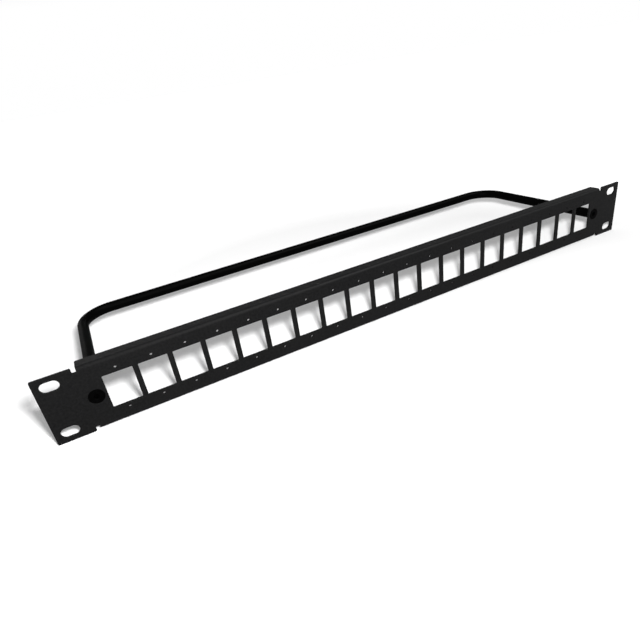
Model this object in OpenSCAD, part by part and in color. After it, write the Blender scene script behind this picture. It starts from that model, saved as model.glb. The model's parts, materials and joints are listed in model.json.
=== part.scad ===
// Blank rack-mount patch frame, one rack unit high: a folded sheet-steel front panel with a row
// of module windows, and a bent round bar behind it that the cables are tied to.
// +X runs along the panel, +Y points into the rack, +Z is up.
// The origin is the centre of the four rack slots, on the rear face of the ears.

/* [Rack ears] */
// Overall width across both ears
rack_w = 482.6; // [481.6:0.1:483.2]
// Height of the ears
ear_h = 44.4; // [43.6:0.1:44.4]
// Radius of the outer corners of the ears
ear_corner_r = 0.8; // [0.3:0.1:2]
// Distance between the left and the right rack slots
slot_pitch_x = 465.1; // [464.4:0.1:466]
// Distance between the upper and the lower rack slots
slot_pitch_z = 31.75; // [31.5:0.05:32]
// Length of a rack slot, end to end
slot_len = 10.5; // [8:0.1:11]
// Width of a rack slot
slot_w = 6.5; // [5.5:0.1:7]

/* [Folded panel] */
// Thickness of the sheet
sheet_t = 1.5; // [1:0.1:2]
// Width of the two flanges
flange_w = 434.5; // [433:0.5:436]
// Depth of the flanges, from the front face to their rear edge
flange_depth = 9.5; // [6:0.5:16]
// Height across the two flanges
body_h = 43.5; // [42.5:0.1:44]
// Outer radius of the folds
fold_r = 2.5; // [2.1:0.1:3.5]
// Radius of the rear corners of the flanges
flange_corner_r = 1; // [0.5:0.1:2]
// Width of the relief notch between an ear and a flange
notch_w = 2.4; // [1.6:0.1:4]
// How far a notch runs in past the start of the fold
notch_past_fold = 0.25; // [0.1:0.05:1]

/* [Module windows] */
// Number of windows in the row
window_count = 20; // [1:1:20]
// Distance from one window to the next
window_pitch = 20.8; // [18.6:0.1:20.8]
// Width of a window
window_w = 17.5; // [12:0.1:17.5]
// Height of a window
window_h = 22.3; // [16:0.1:24]
// Radius of the corners of a window
window_corner_r = 0.5; // [0.2:0.1:2]
// Distance between the two fixing holes of a window
fixing_pitch = 28.4; // [27:0.1:32]
// Diameter of a fixing hole, the tapping size of an M2 thread
fixing_d = 1.6; // [1.2:0.1:2]

/* [Lacing bar] */
// Diameter of the bar
bar_d = 8; // [7.5:0.1:9]
// Distance between the centrelines of the two arms
bar_span = 425.2; // [425:0.1:426]
// Distance from the ears' rear face to the centreline of the rear run
bar_reach = 132; // [60:1:200]
// Radius of the two bends, at the centreline
bar_bend_r = 24; // [12:1:40]
// Depth of the tapped hole in each end of the bar
tapped_depth = 18; // [15:1:30]

/* [Bar screws] */
// Thread diameter of a screw
screw_d = 5; // [4:0.5:5]
// Diameter of the countersunk head
head_d = 9.7; // [8:0.1:9.7]
// Overall length of a screw, head included
screw_len = 16; // [10:1:16]
// Size of the hexagon socket, across its flats
socket_af = 3; // [2.5:0.5:3]
// Depth of the hexagon socket
socket_depth = 1.9; // [1:0.1:2.1]
// Free play all round a screw
screw_play = 0.05; // [0.02:0.01:0.1]

/* [Hidden] */
$fn = 96;

// Cutters reach this far past the faces that they cut
overcut = 1;
front_y = -sheet_t;
flange_rear_y = front_y + flange_depth;
// Half the height at which the flat web turns into the folds
web_half_h = body_h / 2 - fold_r;
ear_w = (rack_w - flange_w) / 2 - notch_w;
ear_x = (rack_w - ear_w) / 2;
arm_x = bar_span / 2;
arm_len = bar_reach - bar_bend_r;
head_depth = (head_d - screw_d) / 2;
screw_tip_chamfer = 0.6;
// The drilled point under the hexagon of a socket
socket_point_depth = 0.5;
socket_drill_d = socket_af - 0.1;
socket_drill_tip_d = 0.4;
// A cut that carries on from another one starts this far inside it
cut_overlap = 0.01;

// Outlines -----------------------------------------------------------------------------------

module rounded_rect(w, h, r) {
    square([w - 2 * r, h], center = true);
    square([w, h - 2 * r], center = true);
    for (sx = [-1, 1], sz = [-1, 1])
        translate([sx * (w / 2 - r), sz * (h / 2 - r)]) circle(r);
}

// Two half discs joined by a straight stretch, lying along X
module slot_outline(len, w) {
    square([len - w, w], center = true);
    for (s = [-1, 1])
        translate([s * (len - w) / 2, 0]) circle(d = w);
}

// Section of the space outside or inside the folds: open to the rear, round at the front
module fold_section(y0, y1, h, r) {
    translate([y0 + r, -h / 2]) square([y1 - y0 - r, h]);
    translate([y0, -h / 2 + r]) square([y1 - y0, h - 2 * r]);
    for (s = [-1, 1])
        translate([y0 + r, s * (h / 2 - r)]) circle(r);
}

// Placing --------------------------------------------------------------------------------------

// Extrudes an outline drawn in X and Z from y0 back to y1
module through_y(y0, y1) {
    translate([0, y1, 0]) rotate([90, 0, 0]) linear_extrude(y1 - y0) children();
}

module both_ends(x) {
    for (s = [-1, 1])
        translate([s * x, 0, 0]) children();
}

module each_window() {
    for (i = [0 : window_count - 1])
        translate([(i - (window_count - 1) / 2) * window_pitch, 0, 0]) children();
}

// Front panel ----------------------------------------------------------------------------------

module ears() {
    both_ends(ear_x) through_y(front_y, 0) rounded_rect(ear_w, ear_h, ear_corner_r);
}

// Flat strip between the notches, from the middle of one ear to the middle of the other
module web() {
    strip_h = 2 * (web_half_h - notch_past_fold);
    through_y(front_y, 0) square([2 * ear_x, strip_h], center = true);
}

module folded_channel() {
    translate([-flange_w / 2, 0, 0]) rotate([90, 0, 90]) linear_extrude(flange_w)
        difference() {
            fold_section(front_y, flange_rear_y, body_h, fold_r);
            fold_section(0, flange_rear_y + overcut, body_h - 2 * sheet_t, fold_r - sheet_t);
        }
}

// The waste outside the two round rear corners of each flange
module flange_corner_waste() {
    r = flange_corner_r;
    for (s = [-1, 1])
        translate([s * (flange_w / 2 - r), flange_rear_y - r, -ear_h])
            linear_extrude(2 * ear_h) difference() {
                translate([s > 0 ? 0 : -r - overcut, 0]) square(r + overcut);
                circle(r);
            }
}

module rack_slots() {
    for (sx = [-1, 1], sz = [-1, 1])
        translate([sx * slot_pitch_x / 2, 0, sz * slot_pitch_z / 2])
            through_y(front_y - overcut, overcut) slot_outline(slot_len, slot_w);
}

module windows() {
    each_window() through_y(front_y - overcut, overcut)
        rounded_rect(window_w, window_h, window_corner_r);
}

module fixing_holes() {
    each_window() for (s = [-1, 1])
        translate([0, 0, s * fixing_pitch / 2])
            through_y(front_y - overcut, overcut) circle(d = fixing_d);
}

// Everything that a bar screw takes out of the panel and the bar: cone and tapped hole
module screw_seat() {
    r_mouth = head_d / 2 + screw_play;
    r_hole = screw_d / 2 + screw_play;
    both_ends(arm_x) rotate([-90, 0, 0]) {
        translate([0, 0, front_y - overcut])
            cylinder(h = head_depth + overcut, r1 = r_mouth + overcut, r2 = r_hole);
        translate([0, 0, front_y]) cylinder(h = tapped_depth - front_y, r = r_hole);
    }
}

module front_panel() {
    color("#1f1f21") difference() {
        union() {
            ears();
            web();
            folded_channel();
        }
        flange_corner_waste();
        rack_slots();
        windows();
        fixing_holes();
        screw_seat();
    }
}

// Lacing bar -----------------------------------------------------------------------------------

module bar_arm(side) {
    translate([side * arm_x, 0, 0]) rotate([-90, 0, 0]) cylinder(h = arm_len, d = bar_d);
}

module bar_bend(side) {
    translate([side * (arm_x - bar_bend_r), arm_len, 0])
        rotate([0, 0, side > 0 ? 0 : 90])
            rotate_extrude(angle = 90) translate([bar_bend_r, 0]) circle(d = bar_d);
}

module rear_run() {
    run = bar_span - 2 * bar_bend_r;
    translate([-run / 2, bar_reach, 0]) rotate([0, 90, 0]) cylinder(h = run, d = bar_d);
}

module lacing_bar() {
    color("#0b0b0c") difference() {
        union() {
            for (side = [-1, 1]) {
                bar_arm(side);
                bar_bend(side);
            }
            rear_run();
        }
        screw_seat();
    }
}

// Bar screws -----------------------------------------------------------------------------------

module countersunk_screw() {
    tip = screw_len - screw_tip_chamfer;
    difference() {
        union() {
            cylinder(h = head_depth, d1 = head_d, d2 = screw_d);
            translate([0, 0, head_depth]) cylinder(h = tip - head_depth, d = screw_d);
            translate([0, 0, tip])
                cylinder(h = screw_tip_chamfer, d1 = screw_d, d2 = screw_d - 2 * screw_tip_chamfer);
        }
        translate([0, 0, -overcut])
            cylinder(h = socket_depth + overcut, d = socket_af / cos(30), $fn = 6);
        translate([0, 0, socket_depth - cut_overlap])
            cylinder(h = socket_point_depth, d1 = socket_drill_d, d2 = socket_drill_tip_d);
    }
}

module bar_screws() {
    color("#060607") both_ends(arm_x)
        translate([0, front_y, 0]) rotate([-90, 0, 0]) countersunk_screw();
}

front_panel();
lacing_bar();
bar_screws();
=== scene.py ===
"""Looks of the blank rack patch frame: a folded black panel, a round lacing bar and two screws.

Everything is in metres, in the frame of the CAD part: +X along the panel, +Y into the rack, +Z up.
"""

import json
import math

import bmesh
import bpy
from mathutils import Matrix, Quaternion, Vector
from mathutils.geometry import delaunay_2d_cdt


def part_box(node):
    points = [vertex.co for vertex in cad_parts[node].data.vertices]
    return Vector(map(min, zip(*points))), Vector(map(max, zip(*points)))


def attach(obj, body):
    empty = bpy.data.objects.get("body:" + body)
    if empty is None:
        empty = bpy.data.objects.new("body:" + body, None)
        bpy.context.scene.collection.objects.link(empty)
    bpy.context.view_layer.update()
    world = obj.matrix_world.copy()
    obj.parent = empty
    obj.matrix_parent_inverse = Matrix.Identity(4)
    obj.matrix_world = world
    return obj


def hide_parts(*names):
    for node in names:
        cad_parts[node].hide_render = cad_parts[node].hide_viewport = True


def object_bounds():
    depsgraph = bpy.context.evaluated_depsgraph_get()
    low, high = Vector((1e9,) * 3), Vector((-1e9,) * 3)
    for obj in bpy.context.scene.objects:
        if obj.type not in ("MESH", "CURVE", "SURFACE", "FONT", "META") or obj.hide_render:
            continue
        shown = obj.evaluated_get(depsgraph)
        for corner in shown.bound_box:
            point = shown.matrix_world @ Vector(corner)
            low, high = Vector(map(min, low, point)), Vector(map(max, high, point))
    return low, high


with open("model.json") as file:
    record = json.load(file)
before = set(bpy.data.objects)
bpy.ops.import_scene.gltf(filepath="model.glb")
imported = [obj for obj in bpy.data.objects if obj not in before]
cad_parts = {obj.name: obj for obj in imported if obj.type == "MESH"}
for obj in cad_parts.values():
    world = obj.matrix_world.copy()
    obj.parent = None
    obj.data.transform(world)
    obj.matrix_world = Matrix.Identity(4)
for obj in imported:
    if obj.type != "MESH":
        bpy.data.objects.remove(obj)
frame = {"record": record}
cad_low, cad_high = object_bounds()

# Sizes that the frame and its record give ----------------------------------------------------

MM = 0.001
mounts = {mount["name"]: mount for mount in frame["record"]["mounts"]}
openings = {opening["name"]: opening for opening in frame["record"]["physics"]["openings"]}
panel_low, panel_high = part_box("front_panel")
bar_low, bar_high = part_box("lacing_bar")
screw_low, screw_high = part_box("bar_screws")

rack_dims = mounts["rack_screws"]["dims"]
slot_half_w = rack_dims["hole_r_mm"] * MM
slot_half_run = rack_dims["slot_length_mm"] * MM / 2 - slot_half_w
slot_x = rack_dims["spacing_x_mm"] * MM / 2
slot_z = rack_dims["spacing_y_mm"] * MM / 2

module_mounts = [mounts[name] for name in sorted(mounts) if name.startswith("module_fixing")]
window_xs = [mount["pos_m"][0] for mount in module_mounts]
fixing_z = module_mounts[0]["dims"]["spacing_y_mm"] * MM / 2
fixing_r = module_mounts[0]["dims"]["hole_r_mm"] * MM
opening_low, opening_high = openings["window_01"]["box_m"]
# The record's openings stop this far short of the edges of the windows
OPENING_MARGIN = 0.2 * MM
window_half_w = (opening_high[0] - opening_low[0]) / 2 + OPENING_MARGIN
window_half_h = (opening_high[2] - opening_low[2]) / 2 + OPENING_MARGIN

front_y = panel_low.y
sheet_t = -front_y
ear_half_w = panel_high.x
ear_half_h = panel_high.z
flange_depth = panel_high.y - front_y

bar_r = (bar_high.z - bar_low.z) / 2
arm_x = bar_high.x - bar_r
bar_reach = bar_high.y - bar_r
screw_head_r = (screw_high.z - screw_low.z) / 2
screw_len = screw_high.y - screw_low.y

# Sizes that the boxes can't give, the same as in the CAD source -------------------------------

FLANGE_HALF_W = 217.25 * MM
BODY_HALF_H = 21.75 * MM
FOLD_R = 2.5 * MM
FLANGE_CORNER_R = 1.0 * MM
EAR_CORNER_R = 0.8 * MM
NOTCH_W = 2.4 * MM
NOTCH_PAST_FOLD = 0.25 * MM
WINDOW_CORNER_R = 0.5 * MM
BAR_BEND_R = 24.0 * MM
TAPPED_DEPTH = 18.0 * MM
SCREW_R = 2.5 * MM
SCREW_PLAY = 0.05 * MM
SCREW_TIP_CHAMFER = 0.6 * MM
SOCKET_AF = 3.0 * MM
SOCKET_DEPTH = 1.9 * MM
SOCKET_POINT_DEPTH = 0.5 * MM

# Finer shapes that only the looks have ----------------------------------------------------------

# Softened edges of the sheet, and of the small holes and countersinks in it
EDGE_R = 0.13 * MM
HOLE_EDGE_R = 0.12 * MM
NOTCH_CORNER_R = 0.5 * MM
BAR_CHAMFER = 0.3 * MM
# Slope of the cone that a drill leaves at the bottom of a hole
DRILL_POINT_DEGREES = 31
HEAD_EDGE_R = 0.12 * MM
THREAD_PITCH = 0.8 * MM
THREAD_DEPTH = 0.45 * MM
# Round chamfer that just clears the corners of the socket's hexagon, and how steeply it goes in
SOCKET_MOUTH_R = 1.23 * SOCKET_AF / 2
SOCKET_MOUTH_SLOPE = 0.7
# Rim of the drilled point in the socket's floor
SOCKET_POINT_R = SOCKET_AF * 0.47

EDGE_STEPS = 3
FOLD_STEPS = 8
FLANGE_CORNER_STEPS = 6
NOTCH_CORNER_STEPS = 4
EAR_CORNER_STEPS = 5
WINDOW_CORNER_STEPS = 5
SLOT_END_STEPS = 16
FIXING_HOLE_STEPS = 24
SEAT_STEPS = 64
BEND_STEPS = 24
ROUND_STEPS = 48
THREAD_RINGS = 128
# Points of an outline that are nearer than this are one point
SAME_POINT = 1e-7

web_half_h = BODY_HALF_H - FOLD_R
fold_len = FOLD_R * math.pi / 2
sheet_half_s = web_half_h + fold_len + flange_depth - FOLD_R
ear_inner_x = FLANGE_HALF_W + NOTCH_W
tapped_r = SCREW_R + SCREW_PLAY
# Radius of the countersink where it leaves the sheet and enters the bar
cone_rear_r = screw_head_r + SCREW_PLAY - sheet_t
screw_head_depth = screw_head_r - SCREW_R


# Mesh helpers ---------------------------------------------------------------------------------

def skin(bm, rings):
    """Joins each closed ring of vertices to the next one with quads."""
    for ring, following in zip(rings, rings[1:]):
        for i in range(len(ring)):
            j = (i + 1) % len(ring)
            bm.faces.new((ring[i], ring[j], following[j], following[i]))


def fan(bm, ring, centre):
    """Closes a ring with triangles that meet at one vertex."""
    for i in range(len(ring)):
        bm.faces.new((ring[i], ring[(i + 1) % len(ring)], centre))


def finished_object(bm, name, material, sharp_degrees):
    """Turns a closed mesh into an object with clean normals and one material."""
    bmesh.ops.recalc_face_normals(bm, faces=bm.faces)
    mesh = bpy.data.meshes.new(name)
    bm.to_mesh(mesh)
    bm.free()
    mesh.shade_smooth()
    mesh.set_sharp_from_angle(angle=math.radians(sharp_degrees))
    mesh.materials.append(material)
    piece = bpy.data.objects.new(name, mesh)
    bpy.context.scene.collection.objects.link(piece)
    normals = piece.modifiers.new("even_normals", "WEIGHTED_NORMAL")
    normals.keep_sharp = True
    return piece


# Folded sheet -----------------------------------------------------------------------------------
# The sheet is drawn flat, in x and in s, the distance up its front face, and then folded.
# A point of an edge is (x, s, nx, ns): its place and the direction from it into the sheet.

def arc(x, s, radius, start, end, steps, into):
    """Points round an arc, in degrees. into is 1 if the sheet is outside the arc, and -1 if inside."""
    points = []
    for i in range(steps + 1):
        angle = math.radians(start + (end - start) * i / steps)
        along_x = math.cos(angle)
        along_s = math.sin(angle)
        points.append((x + radius * along_x, s + radius * along_s, into * along_x, into * along_s))
    return points


def round_hole(x, s, radius, steps):
    """Outline of a round hole."""
    return arc(x, s, radius, 0, 360, steps, 1)[:-1]


def slot_hole(x, s, half_run, radius, steps):
    """Outline of a hole with half-round ends, lying along x."""
    return (arc(x + half_run, s, radius, -90, 90, steps, 1)
            + arc(x - half_run, s, radius, 90, 270, steps, 1))


def window_hole(x, half_w, half_h, radius, steps):
    """Outline of a rectangular hole with round corners, half-way up the sheet."""
    points = []
    for turn, (side_x, side_s) in enumerate([(1, 1), (-1, 1), (-1, -1), (1, -1)]):
        centre_x = x + side_x * (half_w - radius)
        centre_s = side_s * (half_h - radius)
        points += arc(centre_x, centre_s, radius, 90 * turn, 90 * turn + 90, steps, 1)
    return points


def fold_levels():
    """Heights on the flat sheet at which a fold is bent a step further."""
    return [web_half_h + fold_len * i / FOLD_STEPS for i in range(FOLD_STEPS + 1)]


def quarter_outline(rear_xs):
    """Outer edge of the sheet from the middle of a flange to the middle of an ear's end."""
    notch_s = web_half_h - NOTCH_PAST_FOLD
    points = [(x, sheet_half_s, 0, -1) for x in rear_xs if x >= 0]
    points += arc(FLANGE_HALF_W - FLANGE_CORNER_R, sheet_half_s - FLANGE_CORNER_R,
                  FLANGE_CORNER_R, 90, 0, FLANGE_CORNER_STEPS, -1)
    points += [(FLANGE_HALF_W, s, -1, 0) for s in reversed(fold_levels()[1:])]
    points += arc(FLANGE_HALF_W + NOTCH_CORNER_R, notch_s + NOTCH_CORNER_R,
                  NOTCH_CORNER_R, 180, 270, NOTCH_CORNER_STEPS, 1)
    points += arc(ear_inner_x - NOTCH_CORNER_R, notch_s + NOTCH_CORNER_R,
                  NOTCH_CORNER_R, 270, 360, NOTCH_CORNER_STEPS, 1)
    points += arc(ear_inner_x + EAR_CORNER_R, ear_half_h - EAR_CORNER_R,
                  EAR_CORNER_R, 180, 90, EAR_CORNER_STEPS, -1)
    points += arc(ear_half_w - EAR_CORNER_R, ear_half_h - EAR_CORNER_R,
                  EAR_CORNER_R, 90, 0, EAR_CORNER_STEPS, -1)
    return points


def mirrored(points, flip_x, flip_s):
    """The same points, mirrored in each direction whose flip is -1."""
    return [(x * flip_x, s * flip_s, nx * flip_x, ns * flip_s) for x, s, nx, ns in points]


def outline(rear_xs):
    """The whole outer edge, as four mirrored quarters."""
    quarter = quarter_outline(rear_xs)
    back = quarter[::-1]
    loop = quarter + mirrored(back, 1, -1) + mirrored(quarter, -1, -1) + mirrored(back, -1, 1)
    kept = []
    for point in loop:
        if not kept or math.dist(point[:2], kept[-1][:2]) > SAME_POINT:
            kept.append(point)
    if math.dist(kept[0][:2], kept[-1][:2]) <= SAME_POINT:
        kept.pop()
    return kept


def folded(x, s, depth):
    """Where a point of the flat sheet is once folded, at a depth under the front face."""
    side = 1 if s >= 0 else -1
    past = abs(s) - web_half_h
    if past <= 0 or abs(x) > FLANGE_HALF_W + NOTCH_W / 2:
        return Vector((x, front_y + depth, s))
    if past < fold_len:
        angle = past / FOLD_R
        radius = FOLD_R - depth
        return Vector((x, front_y + FOLD_R - radius * math.cos(angle),
                       side * (web_half_h + radius * math.sin(angle))))
    return Vector((x, front_y + FOLD_R + past - fold_len, side * (BODY_HALF_H - depth)))


def rounded_profile(radius):
    """Section of an edge from the front face to the rear: (distance into the sheet, depth)."""
    quarter = []
    for i in range(EDGE_STEPS + 1):
        angle = math.radians(90 * i / EDGE_STEPS)
        quarter.append((radius * (1 - math.sin(angle)), radius * (1 - math.cos(angle))))
    return quarter + [(inset, sheet_t - depth) for inset, depth in reversed(quarter)]


def countersunk_profile():
    """Section of a hole that is a 45 degree cone with a softened mouth, as in rounded_profile."""
    soft = HOLE_EDGE_R
    return [(sheet_t + soft, 0), (sheet_t + soft / 4, soft / 6), (sheet_t - soft, soft), (0, sheet_t)]


def inside(loop, x, s):
    """True if a point of the flat sheet is inside a loop of (x, s) points."""
    if not min(p[0] for p in loop) < x < max(p[0] for p in loop):
        return False
    crossed = False
    for (x0, s0), (x1, s1) in zip(loop, loop[1:] + loop[:1]):
        if (s0 > s) != (s1 > s) and x < x0 + (x1 - x0) * (s - s0) / (s1 - s0):
            crossed = not crossed
    return crossed


def fill_face(bm, loops, rings, lines, depth):
    """Fills the sheet between its loops at one depth. lines are extra edges that the faces keep to.

    The first loop is the outer edge, and the others are holes.
    """
    flat, given, edges = [], [], []
    for loop, ring in zip(loops, rings):
        first = len(flat)
        flat += loop
        given += ring
        edges += [(first + i, first + (i + 1) % len(loop)) for i in range(len(loop))]
    for start, end in lines:
        edges.append((len(flat), len(flat) + 1))
        flat += [start, end]
        given += [None, None]
    in_mm = [Vector((x / MM, s / MM)) for x, s in flat]
    merge_mm = 1e-4
    corners, _, triangles, source, _, _ = delaunay_2d_cdt(in_mm, edges, [], 0, merge_mm)
    made = []
    for corner, sources in zip(corners, source):
        known = [given[i] for i in sources if given[i] is not None]
        made.append(known[0] if known else bm.verts.new(folded(corner.x * MM, corner.y * MM, depth)))
    faces = []
    for triangle in triangles:
        x = sum(corners[i].x for i in triangle) / 3 * MM
        s = sum(corners[i].y for i in triangle) / 3 * MM
        if inside(loops[0], x, s) and not any(inside(hole, x, s) for hole in loops[1:]):
            faces.append(bm.faces.new([made[i] for i in triangle]))
    loose = [vertex for vertex in made if not vertex.link_faces]
    bmesh.ops.delete(bm, geom=loose, context="VERTS")
    bmesh.ops.join_triangles(bm, faces=faces, angle_face_threshold=math.radians(3),
                             angle_shape_threshold=math.radians(60))


def build_panel(material):
    """One closed skin: a profile round every edge of the sheet, and a filled front and rear.

    The "edge" attribute marks the softened front edges, where the coat is thinner.
    """
    gap_xs = [(x + following) / 2 for x, following in zip(window_xs, window_xs[1:])]
    soft_edge, soft_hole = rounded_profile(EDGE_R), rounded_profile(HOLE_EDGE_R)
    edges = [(outline(gap_xs), soft_edge)]
    for x in window_xs:
        window = window_hole(x, window_half_w, window_half_h, WINDOW_CORNER_R, WINDOW_CORNER_STEPS)
        edges.append((window, soft_edge))
        for s in (-fixing_z, fixing_z):
            edges.append((round_hole(x, s, fixing_r, FIXING_HOLE_STEPS), soft_hole))
    for side in (-1, 1):
        seat = round_hole(side * arm_x, 0, cone_rear_r, SEAT_STEPS)
        edges.append((seat, countersunk_profile()))
        for s in (-slot_z, slot_z):
            slot = slot_hole(side * slot_x, s, slot_half_run, slot_half_w, SLOT_END_STEPS)
            edges.append((slot, soft_edge))

    bm = bmesh.new()
    edge_layer = bm.verts.layers.float.new("edge")
    fronts, front_rings, rears, rear_rings = [], [], [], []
    for points, profile in edges:
        flats = [[(x + nx * inset, s + ns * inset) for x, s, nx, ns in points]
                 for inset, _ in profile]
        rings = [[bm.verts.new(folded(x, s, depth)) for x, s in flat]
                 for flat, (_, depth) in zip(flats, profile)]
        skin(bm, rings)
        for vertex in rings[1]:
            vertex[edge_layer] = 1
        fronts.append(flats[0])
        front_rings.append(rings[0])
        rears.append(flats[-1])
        rear_rings.append(rings[-1])

    reach = FLANGE_HALF_W - EDGE_R
    top = sheet_half_s - EDGE_R
    lines = [((x, -top), (x, top)) for x in gap_xs]
    for level in fold_levels():
        lines += [((-reach, side * level), (reach, side * level)) for side in (-1, 1)]
    fill_face(bm, fronts, front_rings, lines, 0)
    fill_face(bm, rears, rear_rings, lines, sheet_t)
    return finished_object(bm, "front_panel_sheet", material, sharp_degrees=50)


# Lacing bar -------------------------------------------------------------------------------------

def round_ring(bm, centre, across, radius):
    """A ring of vertices round a centre, in the plane of a level vector and the vertical."""
    ring = []
    for i in range(ROUND_STEPS):
        angle = 2 * math.pi * i / ROUND_STEPS
        offset = math.cos(angle) * across + math.sin(angle) * Vector((0, 0, 1))
        ring.append(bm.verts.new(centre + radius * offset))
    return ring


def build_bar(material):
    """One closed skin from the bottom of one tapped end, round the bar, to the other."""
    drill_point = tapped_r * math.tan(math.radians(DRILL_POINT_DEGREES))
    end = [(TAPPED_DEPTH, tapped_r), (cone_rear_r - tapped_r, tapped_r), (0, cone_rear_r),
           (0, bar_r - BAR_CHAMFER), (BAR_CHAMFER / 3, bar_r - BAR_CHAMFER / 3), (BAR_CHAMFER, bar_r)]
    stations = [(0, Vector((-arm_x, y, 0)), radius) for y, radius in end]
    for side, first_angle in ((-1, 0), (1, 90)):
        for i in range(BEND_STEPS + 1):
            angle = first_angle + 90 * i / BEND_STEPS
            outward = Vector((-math.cos(math.radians(angle)), math.sin(math.radians(angle)), 0))
            bend_centre = Vector((side * (arm_x - BAR_BEND_R), bar_reach - BAR_BEND_R, 0))
            stations.append((angle, bend_centre + BAR_BEND_R * outward, bar_r))
    stations += [(180, Vector((arm_x, y, 0)), radius) for y, radius in reversed(end)]

    bm = bmesh.new()
    rings = []
    for angle, centre, radius in stations:
        across = Vector((-math.cos(math.radians(angle)), math.sin(math.radians(angle)), 0))
        rings.append(round_ring(bm, centre, across, radius))
    skin(bm, rings)
    for ring, x in ((rings[0], -arm_x), (rings[-1], arm_x)):
        fan(bm, ring, bm.verts.new((x, TAPPED_DEPTH + drill_point, 0)))
    return finished_object(bm, "lacing_bar_rod", material, sharp_degrees=35)


# Bar screws -------------------------------------------------------------------------------------

def hexagon_radius(angle):
    """Distance from the centre to the side of the socket, with a corner at angle 0."""
    return SOCKET_AF / 2 / math.cos((angle % (math.pi / 3)) - math.pi / 6)


def thread_radius(along, angle):
    """Radius of the shank at a distance from the head's face: a V that fades out at both ends."""
    flank = 1.3
    crest = 0.15
    start = screw_head_depth + THREAD_PITCH / 2
    end = screw_len
    fade = max(0, min(1, (along - start) / THREAD_PITCH, (end - along) / THREAD_PITCH))
    phase = (along / THREAD_PITCH - angle / (2 * math.pi)) % 1
    groove = min(1, max(0, flank * abs(2 * phase - 1) - crest))
    return SCREW_R - THREAD_DEPTH * groove * fade


def build_screw(name, x, turned, material):
    """A countersunk socket screw with its head's face in the panel's front face.

    It is one closed skin, from the socket's floor round the head and along the shank to the tip.
    """
    def ring_at(place):
        """place gives (distance behind the head's face, radius) at an angle."""
        made = []
        for i in range(ROUND_STEPS):
            angle = 2 * math.pi * i / ROUND_STEPS
            along, radius = place(angle)
            made.append(bm.verts.new((radius * math.cos(angle + turned), along,
                                      radius * math.sin(angle + turned))))
        return made

    bm = bmesh.new()
    rings = [
        ring_at(lambda angle: (SOCKET_DEPTH, SOCKET_POINT_R)),
        ring_at(lambda angle: (SOCKET_DEPTH, hexagon_radius(angle))),
        ring_at(lambda angle: ((SOCKET_MOUTH_R - hexagon_radius(angle)) * SOCKET_MOUTH_SLOPE,
                               hexagon_radius(angle))),
        ring_at(lambda angle: (0, SOCKET_MOUTH_R)),
        ring_at(lambda angle: (0, screw_head_r - 2 * HEAD_EDGE_R)),
        ring_at(lambda angle: (HEAD_EDGE_R / 4, screw_head_r - HEAD_EDGE_R)),
        ring_at(lambda angle: (HEAD_EDGE_R, screw_head_r - HEAD_EDGE_R)),
        ring_at(lambda angle: (screw_head_depth, SCREW_R)),
    ]
    thread_end = screw_len - SCREW_TIP_CHAMFER
    for i in range(1, THREAD_RINGS + 1):
        along = screw_head_depth + (thread_end - screw_head_depth) * i / THREAD_RINGS
        rings.append(ring_at(lambda angle: (along, thread_radius(along, angle))))
    rings.append(ring_at(lambda angle: (screw_len, SCREW_R - SCREW_TIP_CHAMFER)))
    skin(bm, rings)
    fan(bm, rings[0], bm.verts.new((0, SOCKET_DEPTH + SOCKET_POINT_DEPTH, 0)))
    fan(bm, rings[-1], bm.verts.new((0, screw_len, 0)))
    screw = finished_object(bm, name, material, sharp_degrees=35)
    screw.location = (x, front_y, 0)
    return screw


# Materials --------------------------------------------------------------------------------------

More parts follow.
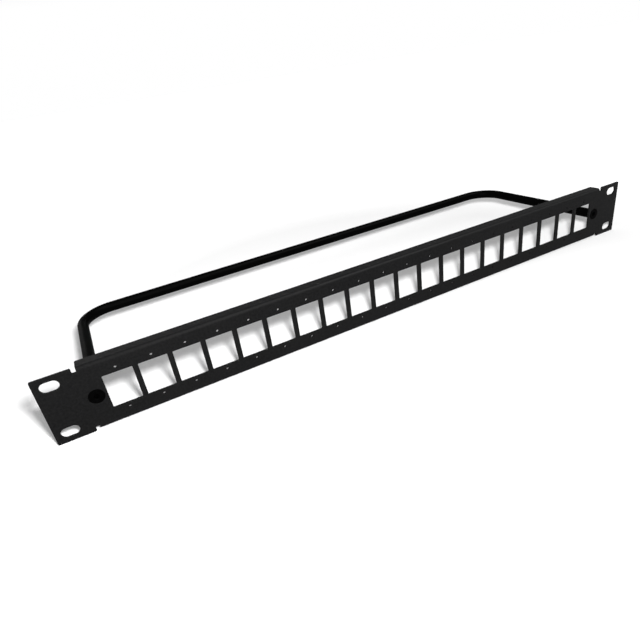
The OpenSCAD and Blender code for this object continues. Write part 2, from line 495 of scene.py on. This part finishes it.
class Paint:
    """A new material with its Principled shader, and short ways to add nodes to it."""

    def __init__(self, name):
        self.material = bpy.data.materials.new(name)
        self.material.use_nodes = True
        self.tree = self.material.node_tree
        self.shader = self.tree.nodes["Principled BSDF"]
        self.place = self.tree.nodes.new("ShaderNodeTexCoord").outputs["Object"]

    def set(self, **sockets):
        """Sets constants on the shader. An underscore stands for a space in a socket's name."""
        for socket, value in sockets.items():
            self.shader.inputs[socket.replace("_", " ")].default_value = value

    def link(self, output, socket):
        """Feeds a node's output into one of the shader's sockets."""
        self.tree.links.new(output, self.shader.inputs[socket])

    def noise(self, size, detail=2.0, roughness=0.5):
        """Noise whose lumps are about size metres across."""
        node = self.tree.nodes.new("ShaderNodeTexNoise")
        node.inputs["Scale"].default_value = 1 / size
        node.inputs["Detail"].default_value = detail
        node.inputs["Roughness"].default_value = roughness
        self.tree.links.new(self.place, node.inputs["Vector"])
        return node.outputs["Fac"]

    def spread(self, value, low, high, from_low=0.3, from_high=0.7):
        """Maps a value onto a range. Noise rarely leaves 0.3 to 0.7, so that is what it starts from."""
        node = self.tree.nodes.new("ShaderNodeMapRange")
        for socket, number in zip(("From Min", "From Max", "To Min", "To Max"),
                                  (from_low, from_high, low, high)):
            node.inputs[socket].default_value = number
        self.tree.links.new(value, node.inputs["Value"])
        return node.outputs["Result"]

    def add(self, a, b):
        """The sum of two values."""
        node = self.tree.nodes.new("ShaderNodeMath")
        node.operation = "ADD"
        self.tree.links.new(a, node.inputs[0])
        self.tree.links.new(b, node.inputs[1])
        return node.outputs["Value"]

    def blend_colours(self, factor, low, high):
        """Blends from low to high, which are colours or the outputs of other nodes."""
        node = self.tree.nodes.new("ShaderNodeMix")
        node.data_type = "RGBA"
        self.tree.links.new(factor, node.inputs["Factor"])
        for name, colour in (("A", low), ("B", high)):
            socket = [s for s in node.inputs if s.name == name and s.type == "RGBA"][0]
            if isinstance(colour, tuple):
                socket.default_value = (*colour, 1)
            else:
                self.tree.links.new(colour, socket)
        return [s for s in node.outputs if s.type == "RGBA"][0]

    def bump(self, height, depth, strength=1.0, below=None):
        """Bump of a real depth in metres, on top of another bump if one is given."""
        node = self.tree.nodes.new("ShaderNodeBump")
        node.inputs["Strength"].default_value = strength
        node.inputs["Distance"].default_value = depth
        self.tree.links.new(height, node.inputs["Height"])
        if below is not None:
            self.tree.links.new(below, node.inputs["Normal"])
        return node.outputs["Normal"]


def powder_coat():
    """Satin black powder coat: orange peel, fine grain, and a thinner, paler coat on the edges."""
    dark_patch = (0.0018, 0.0018, 0.0019)
    pale_patch = (0.0036, 0.0036, 0.0037)
    top_of_peel = (0.0072, 0.0072, 0.0074)
    top_of_grain = (0.0110, 0.0110, 0.0112)
    thin_edge = (0.0090, 0.0090, 0.0092)
    paint = Paint("satin_black_powder_coat")
    patches = paint.noise(70 * MM, detail=2)
    peel = paint.noise(1.4 * MM, detail=2, roughness=0.6)
    grain = paint.noise(0.3 * MM, detail=2, roughness=0.7)
    edge = paint.tree.nodes.new("ShaderNodeAttribute")
    edge.attribute_name = "edge"
    coat = paint.blend_colours(paint.spread(patches, 0, 1), dark_patch, pale_patch)
    mottled = paint.blend_colours(paint.spread(peel, 0, 0.75), coat, top_of_peel)
    flecked = paint.blend_colours(paint.spread(grain, 0, 0.5, 0.5, 0.75), mottled, top_of_grain)
    worn = paint.blend_colours(paint.spread(edge.outputs["Fac"], 0, 0.4, 0, 1), flecked, thin_edge)
    paint.link(worn, "Base Color")
    rough = paint.add(paint.spread(patches, 0.48, 0.54), paint.spread(grain, 0, 0.08))
    paint.link(rough, "Roughness")
    peeled = paint.bump(peel, 0.110 * MM, strength=0.8)
    paint.link(paint.bump(grain, 0.024 * MM, strength=0.7, below=peeled), "Normal")
    paint.set(Specular_IOR_Level=0.035)
    return paint.material


def bar_coat():
    """Smooth deep black coat on round rod, with a little unevenness."""
    dark_patch = (0.0004, 0.0004, 0.0004)
    pale_patch = (0.0008, 0.0008, 0.0008)
    paint = Paint("deep_black_bar_coat")
    patches = paint.noise(30 * MM, detail=3)
    grain = paint.noise(0.35 * MM, detail=2, roughness=0.6)
    coat = paint.blend_colours(paint.spread(patches, 0, 1), dark_patch, pale_patch)
    paint.link(coat, "Base Color")
    rough = paint.add(paint.spread(patches, 0.40, 0.48), paint.spread(grain, 0, 0.06))
    paint.link(rough, "Roughness")
    paint.link(paint.bump(grain, 0.012 * MM, strength=0.4), "Normal")
    paint.set(Specular_IOR_Level=0.005)
    return paint.material


def black_oxide():
    """Black oxide on a turned head: fine rings, and darker and lighter patches in the oxide."""
    dark_patch = (0.0004, 0.0004, 0.0004)
    pale_patch = (0.0010, 0.0010, 0.0010)
    ring_spacing = 0.16 * MM
    paint = Paint("black_oxide_steel")
    patches = paint.noise(1.6 * MM, detail=4, roughness=0.6)
    rings = paint.tree.nodes.new("ShaderNodeTexWave")
    rings.wave_type = "RINGS"
    rings.rings_direction = "Y"
    # At scale 1 the node's rings are pi / 10 apart
    rings.inputs["Scale"].default_value = math.pi / 10 / ring_spacing
    rings.inputs["Distortion"].default_value = 0.4
    paint.tree.links.new(paint.place, rings.inputs["Vector"])
    oxide_colour = paint.blend_colours(paint.spread(patches, 0, 1), dark_patch, pale_patch)
    paint.link(oxide_colour, "Base Color")
    paint.link(paint.spread(patches, 0.36, 0.50), "Roughness")
    paint.link(paint.bump(rings.outputs["Fac"], 0.006 * MM, strength=0.5), "Normal")
    paint.set(Specular_IOR_Level=0.005)
    return paint.material


def pale_floor():
    """Plain matt white floor with the faintest grain, and a painted glow: the floor emits light that
    grows with distance from the origin, so it brightens into a white surround.
    """
    dark_grain = (0.912, 0.912, 0.912)
    pale_grain = (0.922, 0.922, 0.922)
    # Painted glow: light the floor itself emits far from the object, where the lamps alone leave it
    # grey
    glow = 0.6
    # Distances from the origin at which the glow starts and is full
    glow_starts = 0.26
    glow_is_full = 0.5
    paint = Paint("pale_floor")
    reach = paint.tree.nodes.new("ShaderNodeVectorMath")
    reach.operation = "LENGTH"
    paint.tree.links.new(paint.place, reach.inputs[0])
    paint.link(paint.spread(reach.outputs["Value"], 0, glow, glow_starts, glow_is_full),
               "Emission Strength")
    grain = paint.noise(1.2 * MM, detail=2)
    paint.link(paint.blend_colours(paint.spread(grain, 0, 1), dark_grain, pale_grain), "Base Color")
    paint.set(Emission_Color=(1, 1, 1, 1), Roughness=0.9, Specular_IOR_Level=0.1)
    return paint.material


# Pieces -----------------------------------------------------------------------------------------

panel = build_panel(powder_coat())
bar = build_bar(bar_coat())
oxide = black_oxide()
screws = [build_screw("bar_screw_left", -arm_x, math.radians(12), oxide),
          build_screw("bar_screw_right", arm_x, math.radians(-19), oxide)]

for piece, node, slot in [(panel, "front_panel", "panel_powder_coat"),
                          (bar, "lacing_bar", "bar_black_coat"),
                          (screws[0], "bar_screws", "screw_black_oxide"),
                          (screws[1], "bar_screws", "screw_black_oxide")]:
    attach(piece, "root")
    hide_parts(node)


# Stage, light and camera ------------------------------------------------------------------------

FLOOR_HALF = 8.0
CAMERA_PLACE = Vector((-0.1860, -0.2770, 0.1543))
CAMERA_AIM = Vector((-0.0646, 0.0, -0.0049))
CAMERA_ROLL = math.radians(-8.87)
KEY_FROM_CAMERA = Vector((0.0394, 0.0060, 0.0407))


def studio_floor():
    """A flat sheet of floor that the lowest point of the object stands on."""
    corners = [(x * FLOOR_HALF, y * FLOOR_HALF, cad_low.z)
               for x, y in ((-1, -1), (1, -1), (1, 1), (-1, 1))]
    mesh = bpy.data.meshes.new("floor")
    mesh.from_pydata(corners, [], [(0, 1, 2, 3)])
    mesh.materials.append(pale_floor())
    floor = bpy.data.objects.new("floor", mesh)
    bpy.context.scene.collection.objects.link(floor)


def studio_sky():
    """A white band round the horizon that fades to a dimmer soft light overhead."""
    world = bpy.data.worlds.new("studio")
    world.use_nodes = True
    tree = world.node_tree
    place = tree.nodes.new("ShaderNodeTexCoord").outputs["Generated"]
    height = tree.nodes.new("ShaderNodeSeparateXYZ")
    ramp = tree.nodes.new("ShaderNodeValToRGB")
    band, sky = ramp.color_ramp.elements
    band.position = 0.13
    band.color = (1.0, 1.0, 1.0, 1)
    sky.position = 0.36
    sky.color = (0.40, 0.40, 0.40, 1)
    tree.links.new(place, height.inputs["Vector"])
    tree.links.new(height.outputs["Z"], ramp.inputs["Fac"])
    tree.links.new(ramp.outputs["Color"], tree.nodes["Background"].inputs["Color"])
    bpy.context.scene.world = world


def key_light():
    """A small soft light beside the camera, up and to the right, as bright far off as near.

    Its shadows lie close behind the object, a little to the left of what casts them.
    """
    light = bpy.data.lights.new("key", "POINT")
    light.energy = 1.0
    light.shadow_soft_size = 0.022
    light.use_nodes = True
    tree = light.node_tree
    falloff = tree.nodes.new("ShaderNodeLightFalloff")
    falloff.inputs["Strength"].default_value = 64.0
    tree.links.new(falloff.outputs["Constant"], tree.nodes["Emission"].inputs["Strength"])
    key = bpy.data.objects.new("key", light)
    key.location = CAMERA_PLACE + KEY_FROM_CAMERA
    key.visible_camera = False
    bpy.context.scene.collection.objects.link(key)


def soft_box(name, energy, degrees, towards):
    """A far soft box. towards is the direction to it from the object."""
    light = bpy.data.lights.new(name, "SUN")
    light.energy = energy
    light.angle = math.radians(degrees)
    box = bpy.data.objects.new(name, light)
    box.rotation_mode = "QUATERNION"
    box.rotation_quaternion = Vector(towards).to_track_quat("Z", "Y")
    bpy.context.scene.collection.objects.link(box)
    return box


def sheen_lights():
    """Two soft boxes that only show as a sheen, along the fold and on the left end of the flange."""
    over_fold = soft_box("sheen_on_fold", energy=9.0, degrees=20, towards=(0.36, -0.36, 0.82))
    behind = soft_box("sheen_on_left_end", energy=0.7, degrees=16, towards=(-0.30, 0.86, 0.41))
    over_fold.visible_diffuse = False
    behind.visible_diffuse = False


def rear_fill(lit):
    """A low fill from behind that lights the pieces in lit and leaves the floor's shadows alone."""
    fill = soft_box("rear_fill", energy=9.0, degrees=30, towards=(0.25, 1.0, 0.15))
    fill.visible_glossy = False
    receivers = bpy.data.collections.new("lit_by_rear_fill")
    for piece in lit:
        receivers.objects.link(piece)
    fill.light_linking.receiver_collection = receivers


def studio_camera():
    """The camera, in front of the panel's left end and above it, turned a little on its own axis."""
    data = bpy.data.cameras.new("camera")
    data.sensor_width = 36
    data.lens = 27.67
    data.clip_start = 0.01
    camera = bpy.data.objects.new("camera", data)
    camera.rotation_mode = "QUATERNION"
    camera.location = CAMERA_PLACE
    looking = (CAMERA_AIM - CAMERA_PLACE).to_track_quat("-Z", "Y")
    camera.rotation_quaternion = looking @ Quaternion((0, 0, 1), CAMERA_ROLL)
    bpy.context.scene.collection.objects.link(camera)
    bpy.context.scene.camera = camera


studio_floor()
studio_sky()
key_light()
sheen_lights()
rear_fill([panel, bar] + screws)
studio_camera()
bpy.context.scene.view_settings.view_transform = "Standard"
